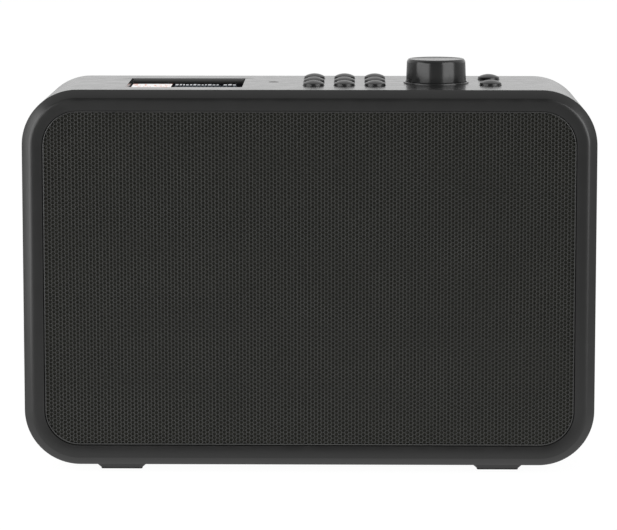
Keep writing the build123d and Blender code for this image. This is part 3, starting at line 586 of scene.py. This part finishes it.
def bezel_ring():
    """The bezel with a crowned outer chamfer, a softly rounded ridge and an inner band."""
    low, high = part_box("front_bezel")
    origin = Vector(((low.x + high.x) / 2, low.y, (low.z + high.z) / 2))
    chamfer = bowed(CHAMFER_START, RIDGE_START, CHAMFER_BOW, BOW_STEPS)
    ridge = rolled(RIDGE_START, RIDGE_TURN, BAND_START, RIDGE_STEPS)
    band = bowed(BAND_START, BAND_END, BAND_BOW, BOW_STEPS)
    closed = chamfer[:-1] + ridge[:-1] + band + BEZEL_BACK
    profile = [(inset * MM, back * MM) for inset, back in closed]
    half_w = (high.x - low.x) / 2
    half_h = (high.z - low.z) / 2
    points, faces = ring_mesh(
        profile, half_w, half_h, BEZEL_CORNER_R, origin, BEZEL_CORNER_STEPS
    )
    ring = make_piece(
        "bezel_ring", points, faces, "bezel_plastic", "case", sharp_deg=BEZEL_SHARP_DEG
    )
    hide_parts("front_bezel")


perforated_sheet()
rolled_edge()
bezel_ring()


# ---- knob and buttons ---------------------------------------------------------------------
# Numbers here are in millimetres: radii, and heights above the place where a control stands.
KNOB_SEGMENTS = 144
BUTTON_SEGMENTS = 72
KNOB_SOFT = 0.35
KNOB_DRAFT = 0.35  # how much smaller the knob's radius is at the top of its side
HUB_IN_R = 3.0
HUB_OUT_R = 5.0
HUB_LOW = 5.3
KNOB_ROOF = 8.2  # underside of the knob's top
RING_WIDTH = 0.8
RING_BEVEL = 0.06
COLLAR_WIDTH = 1.2  # how far the collar stands out past the cap
COLLAR_LOW = -4.3
COLLAR_HIGH = -3.3
STEM_R = 2.2
CAP_SOFT = 0.25
DOME_H = 1.25
DOME_STEPS = 10


def joint_place(name):
    """Where a control's joint is, which is where the control stands on the top."""
    return Vector(joints[name]["pos_m"])


def reach(node, axis, origin):
    """A CAD node's lowest and highest height along axis from origin and its largest radius, in mm."""
    points = np.array([v.co for v in nodes_of_frame[node].data.vertices], float) - np.array(origin)
    along = points @ np.array(axis)
    radial = np.linalg.norm(points - np.outer(along, np.array(axis)), axis=1)
    return along.min() / MM, along.max() / MM, radial.max() / MM


def make_knob():
    """The knob: a hollow shell with a slightly dished top and a hub inside."""
    centre = joint_place("knob_press")
    low, high, radius = reach("knob", UP, centre)
    slim = radius - KNOB_DRAFT
    shell = [
        (HUB_IN_R, HUB_LOW),
        (HUB_OUT_R, HUB_LOW),
        (HUB_OUT_R, KNOB_ROOF),
        (radius - 2.2, KNOB_ROOF),
        (radius - 2.0, low),
        (radius, low),
        (slim, high - 1.4),
        (slim - 0.2, high - 0.7),
        (slim - 0.8, high),
        (slim - 1.1, high),
        (slim - 1.8, high - 0.3),
        (slim * 0.5, high - 0.55),
        (0.0, high - 0.8),
    ]
    profile = softened(shell, KNOB_SOFT)
    knob = lathe("knob_shell", profile, centre, UP, "knob_plastic", "knob", KNOB_SEGMENTS)
    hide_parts("knob")


def make_knob_ring():
    """The thin ring at the knob's base, with a small bevel on its upper outer edge."""
    centre = joint_place("knob_press")
    low, high, radius = reach("knob_ring", UP, centre)
    inner = radius - RING_WIDTH
    section = [
        (inner, low),
        (radius, low),
        (radius, high - RING_BEVEL),
        (radius - RING_BEVEL, high),
        (inner, high),
        (inner, low),
    ]
    ring = lathe("knob_flange", section, centre, UP, "knob_plastic", "case", KNOB_SEGMENTS)
    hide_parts("knob_ring")


def make_button(node):
    """A round button: a stem, a collar that keeps it in, and a domed cap."""
    centre = joint_place(f"{node}_press")
    low, high, collar = reach(node, UP, centre)
    radius = collar - COLLAR_WIDTH
    dome_edge = radius - CAP_SOFT
    profile = [
        (0.0, low),
        (STEM_R, low),
        (STEM_R, COLLAR_LOW),
        (collar, COLLAR_LOW),
        (collar, COLLAR_HIGH),
        (radius, COLLAR_HIGH),
        (radius, high - (DOME_H + CAP_SOFT)),
        (dome_edge, high - DOME_H),
    ]
    profile = softened(profile, CAP_SOFT)
    dome_r = (dome_edge**2 + DOME_H**2) / (2 * DOME_H)
    for step in range(1, DOME_STEPS + 1):
        out = dome_edge * (1 - step / DOME_STEPS)
        profile.append((out, high - dome_r + math.sqrt(dome_r**2 - out**2)))
    cap = lathe(node + "_cap", profile, centre, UP, "button_plastic", node, BUTTON_SEGMENTS)
    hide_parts(node)


make_knob()
make_knob_ring()
preset_names = [name for name in nodes_of_frame if name.startswith("preset_button_")]
side_names = ["side_button_front", "side_button_rear"]
for button_name in sorted(preset_names) + side_names:
    make_button(button_name)


# ---- display ------------------------------------------------------------------------------
lens_points = np.array([v.co for v in nodes_of_frame["display_lens"].data.vertices], float)
lens_top = (lens_points @ np.array(UP)).max()
lens_low, lens_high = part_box("display_lens")
lens_centre = (lens_low + lens_high) / 2
screen_centre = lens_centre + UP * (lens_top - lens_centre.dot(UP))
SCREEN_W = 52.0 * MM
SCREEN_L = 46.0 * MM
SCREEN_SHIFT = 1.4 * MM  # how far the screen's middle is behind the lens's
TILE_T = 0.02 * MM
SCREEN_LIFT = 0.01 * MM
MARK_LIFT = 0.04 * MM
PICTURE_W = 18.5 * MM
PICTURE_L = 30.0 * MM
PICTURE_MARGIN = 2 * MM
TEXT_GAP = 1.6 * MM  # from the picture to where the rows start
TEXT_STOP = 3 * MM  # a row starts no new mark this near the screen's right edge
TEXT_MARGIN = 1 * MM
MARK_GAP = 0.6 * MM
MARK_WIDTHS = (0.8, 1.7)  # narrowest and widest, in millimetres
MARK_SHARES = (0.6, 1.0)  # shortest and longest, as a share of the row's length
SPACE_CHANCE = 0.07  # how often a mark is left out, as between two words
BAR_FRONT = 7 * MM
BAR_L = 0.8 * MM
BAR_W = 28 * MM
BAR_DONE_W = 11 * MM
SEED = 7


def screen_tiles(name, tiles, lift, material):
    """Thin flat tiles that stand lift above the lens: each is (left, front, width, length), in metres."""
    points, faces = [], []
    for left, front, width, length in tiles:
        base = len(points)
        for height in (lift, lift + TILE_T):
            for dx, dy in ((0, 0), (width, 0), (width, length), (0, length)):
                across = left + dx - SCREEN_W / 2
                behind = front + dy - SCREEN_L / 2 + SCREEN_SHIFT
                place = RIGHT * across + BACK * behind
                points.append(screen_centre + place + UP * height)
        for i in range(4):
            j = (i + 1) % 4
            faces.append((base + i, base + j, base + 4 + j, base + 4 + i))
        faces += [(base + 3, base + 2, base + 1, base), (base + 4, base + 5, base + 6, base + 7)]
    return make_piece(name, points, faces, "display_panel", "case", material=material)


def make_display():
    """The dark screen with a picture, rows of marks that are no letters, and a progress bar."""
    draws = np.random.default_rng(SEED)
    screen_black = shaded("screen_black", (0.006, 0.006, 0.008), 0.35, specular=0.0)
    screen_tiles("display_screen", [(0, 0, SCREEN_W, SCREEN_L)], SCREEN_LIFT, screen_black)
    cover = [(0, SCREEN_L - PICTURE_L - PICTURE_MARGIN, PICTURE_W, PICTURE_L)]
    screen_tiles("display_picture", cover, MARK_LIFT, picture("screen_picture"))
    text_left = PICTURE_W + TEXT_GAP
    words, faint = [], []
    # Each row: how far its front is from the screen's back, its longest mark, and its list.
    rows = [(9.5 * MM, 7.0 * MM, words), (15.5 * MM, 3.5 * MM, faint)]
    rows += [(20.5 * MM, 2.5 * MM, faint), (25 * MM, 2.0 * MM, faint)]
    for from_back, length, bucket in rows:
        left = text_left
        while left < SCREEN_W - TEXT_STOP:
            mark = draws.uniform(*MARK_WIDTHS) * MM
            if draws.random() > SPACE_CHANCE:
                width = min(mark, SCREEN_W - TEXT_MARGIN - left)
                shown = length * draws.uniform(*MARK_SHARES)
                bucket.append((left, SCREEN_L - from_back, width, shown))
            left += mark + MARK_GAP
    faint.append((text_left, BAR_FRONT, BAR_W, BAR_L))
    words.append((text_left, BAR_FRONT, BAR_DONE_W, BAR_L))
    screen_tiles("display_title", words, MARK_LIFT, lit("screen_text", (0.8, 0.82, 0.85), 0.8))
    screen_tiles("display_lines", faint, MARK_LIFT, lit("screen_faint", (0.35, 0.4, 0.45), 0.35))


make_display()


# ---- stage --------------------------------------------------------------------------------
FLOOR_HALF = 12.0
FLOOR_GREY = (0.07, 0.07, 0.07, 1)
FLOOR_NEAR_R = 0.15
FLOOR_FAR_R = 0.5
FLOOR_NEAR = 0.9  # the floor's glow out to FLOOR_NEAR_R
FLOOR_FAR = 0.45  # the floor's glow from FLOOR_FAR_R on
FLOOR_SHOWN = 0.96  # the floor's glow as the camera sees it
FRONT_LIGHT = 0.17
BACK_LIGHT = 1.3
OVERHEAD = 0.48  # how much a direction's height counts next to how far back it points
DIM_BELOW = -0.35  # the room has FRONT_LIGHT where that sum is below this
BRIGHT_ABOVE = 0.6  # and BACK_LIGHT where it is above this


def make_floor():
    """A plain that glows, so that it lights the radio and shows as near white."""
    corners = [(-FLOOR_HALF, -FLOOR_HALF, 0), (FLOOR_HALF, -FLOOR_HALF, 0)]
    corners += [(FLOOR_HALF, FLOOR_HALF, 0), (-FLOOR_HALF, FLOOR_HALF, 0)]
    mesh = bpy.data.meshes.new("floor")
    mesh.from_pydata(corners, [], [(0, 1, 2, 3)])
    floor = bpy.data.objects.new("floor", mesh)
    bpy.context.scene.collection.objects.link(floor)
    material, tree, bsdf = new_material("floor")
    bsdf.inputs["Base Color"].default_value = FLOOR_GREY
    bsdf.inputs["Roughness"].default_value = 0.9
    bsdf.inputs["Specular IOR Level"].default_value = 0.0
    bsdf.inputs["Emission Color"].default_value = (1, 1, 1, 1)
    coord = tree.nodes.new("ShaderNodeTexCoord").outputs["Object"]
    away = tree.nodes.new("ShaderNodeVectorMath")
    away.operation = "LENGTH"
    tree.links.new(coord, away.inputs[0])
    near = tree.nodes.new("ShaderNodeMapRange")
    near.interpolation_type = "SMOOTHSTEP"
    near.inputs["From Min"].default_value = FLOOR_NEAR_R
    near.inputs["From Max"].default_value = FLOOR_FAR_R
    near.inputs["To Min"].default_value = FLOOR_NEAR
    near.inputs["To Max"].default_value = FLOOR_FAR
    tree.links.new(away.outputs["Value"], near.inputs["Value"])
    path = tree.nodes.new("ShaderNodeLightPath")
    glow = tree.nodes.new("ShaderNodeMix")
    glow.inputs["B"].default_value = FLOOR_SHOWN
    tree.links.new(near.outputs["Result"], glow.inputs["A"])
    tree.links.new(path.outputs["Is Camera Ray"], glow.inputs["Factor"])
    tree.links.new(glow.outputs["Result"], bsdf.inputs["Emission Strength"])
    mesh.materials.append(material)


def make_world():
    """A room bright behind and overhead and dim in front; the camera sees plain white instead."""
    world = bpy.data.worlds.new("studio")
    bpy.context.scene.world = world
    world.use_nodes = True
    tree = world.node_tree
    shown = tree.nodes["Background"]
    shown.inputs["Color"].default_value = (1, 1, 1, 1)
    shown.inputs["Strength"].default_value = 1.0
    room = tree.nodes.new("ShaderNodeBackground")
    coord = tree.nodes.new("ShaderNodeTexCoord")
    towards = tree.nodes.new("ShaderNodeVectorMath")
    towards.operation = "DOT_PRODUCT"
    towards.inputs[1].default_value = (0, 1, OVERHEAD)
    tree.links.new(coord.outputs["Generated"], towards.inputs[0])
    depth = tree.nodes.new("ShaderNodeMapRange")
    depth.interpolation_type = "SMOOTHSTEP"
    depth.inputs["From Min"].default_value = DIM_BELOW
    depth.inputs["From Max"].default_value = BRIGHT_ABOVE
    depth.inputs["To Min"].default_value = FRONT_LIGHT
    depth.inputs["To Max"].default_value = BACK_LIGHT
    tree.links.new(towards.outputs["Value"], depth.inputs["Value"])
    tree.links.new(depth.outputs["Result"], room.inputs["Strength"])
    path = tree.nodes.new("ShaderNodeLightPath")
    mix = tree.nodes.new("ShaderNodeMixShader")
    tree.links.new(path.outputs["Is Camera Ray"], mix.inputs["Fac"])
    tree.links.new(room.outputs["Background"], mix.inputs[1])
    tree.links.new(shown.outputs["Background"], mix.inputs[2])
    tree.links.new(mix.outputs["Shader"], tree.nodes["World Output"].inputs["Surface"])


def softbox(name, near, far, low, high, radiance):
    """An upright panel light that faces the radio, over the line between two (x, y) points."""
    near, far = Vector((*near, 0)), Vector((*far, 0))
    light = bpy.data.lights.new(name, "AREA")
    light.shape = "RECTANGLE"
    light.size = (far - near).length
    light.size_y = high - low
    light.energy = radiance * math.pi * light.size * light.size_y
    lamp = bpy.data.objects.new(name, light)
    bpy.context.scene.collection.objects.link(lamp)
    middle = (near + far) / 2
    lamp.location = (middle.x, middle.y, (low + high) / 2)
    along = (far - near).normalized()
    inward = Vector((-middle.x, -middle.y, 0))
    inward = (inward - along * inward.dot(along)).normalized()
    up = Vector((0, 0, 1))
    lamp.rotation_mode = "QUATERNION"
    lamp.rotation_quaternion = Matrix((up.cross(-inward), up, -inward)).transposed().to_quaternion()
    lamp.visible_camera = False


make_floor()
make_world()
# Each softbox: name, the (x, y) of its two ends, bottom, top, radiance.
SOFTBOXES = [
    ("softbox_left", (-0.487, -1.07), (-0.487, -0.08), 0.0, 0.45, 3.8),
    ("softbox_right", (0.565, -1.1), (1.17, -0.37), 0.04, 0.9, 4.2),
]
for box in SOFTBOXES:
    softbox(*box)

# The camera stands CAMERA_AWAY in front of the radio's front and looks at a point on it.
CAMERA_X = 0.022
CAMERA_Z = 0.32807
CAMERA_AWAY = 1.577
AIM_X = -0.0003
AIM_Z = 0.0971
LENS_MM = 203.9
SENSOR_W_MM = 36.0
camera_data = bpy.data.cameras.new("camera")
camera = bpy.data.objects.new("camera", camera_data)
bpy.context.scene.collection.objects.link(camera)
camera.location = (CAMERA_X, front_y - CAMERA_AWAY, CAMERA_Z)
camera_way = Vector((AIM_X, front_y, AIM_Z)) - camera.location
camera.rotation_mode = "QUATERNION"
camera.rotation_quaternion = camera_way.to_track_quat("-Z", "Y")
camera_data.sensor_width = SENSOR_W_MM
camera_data.lens = LENS_MM
camera_data.clip_start = 0.05
camera_data.clip_end = 50.0
bpy.context.scene.camera = camera
bpy.context.scene.view_settings.view_transform = "Standard"
